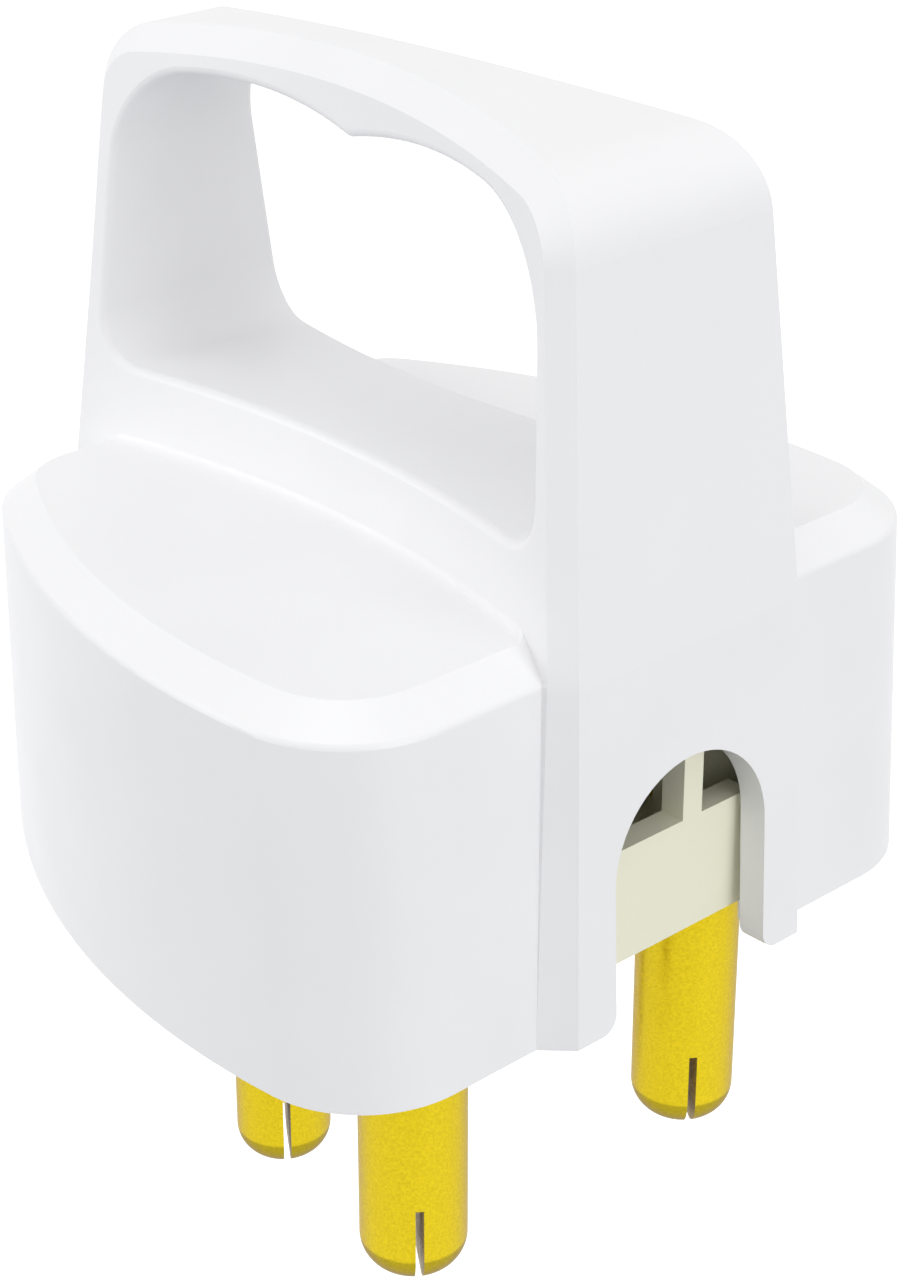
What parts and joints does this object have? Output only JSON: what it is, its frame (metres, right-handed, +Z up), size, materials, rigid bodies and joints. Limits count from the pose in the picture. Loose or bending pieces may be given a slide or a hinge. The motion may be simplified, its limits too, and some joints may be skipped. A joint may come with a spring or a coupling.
{
  "type": "three-pin plug top",
  "caption": "White moulded plug top with a loop handle for two fingers, an arched cord entry and round brass pins.",
  "frame": {"origin": "on the earth pin's axis, in the face of the base that the pins stand out of", "axes": "+Z up through the handle, the pins point to -Z, +X towards the cord entry"},
  "size_m": [0.0516, 0.0536, 0.0869],
  "materials": {
    "cover_white": "satin moulded",
    "carrier_cream": "matt moulded",
    "pin_brass": "turned, satin",
    "screw_steel": "zinc plated"
  },
  "bodies": {
    "root": {"cover": "cover_white", "base": "carrier_cream", "cord_grip_bar": "carrier_cream", "line_pin": "pin_brass", "neutral_pin": "pin_brass", "earth_pin": "pin_brass", "line_terminal_screw": "pin_brass", "neutral_terminal_screw": "pin_brass", "earth_terminal_screw": "pin_brass", "cord_grip_screw_left": "screw_steel", "cord_grip_screw_right": "screw_steel", "cord_grip_nut_left": "pin_brass", "cord_grip_nut_right": "pin_brass", "cover_screw_left": "screw_steel", "cover_screw_right": "screw_steel", "cover_insert_left": "pin_brass", "cover_insert_right": "pin_brass"}
  },
  "joints": []
}
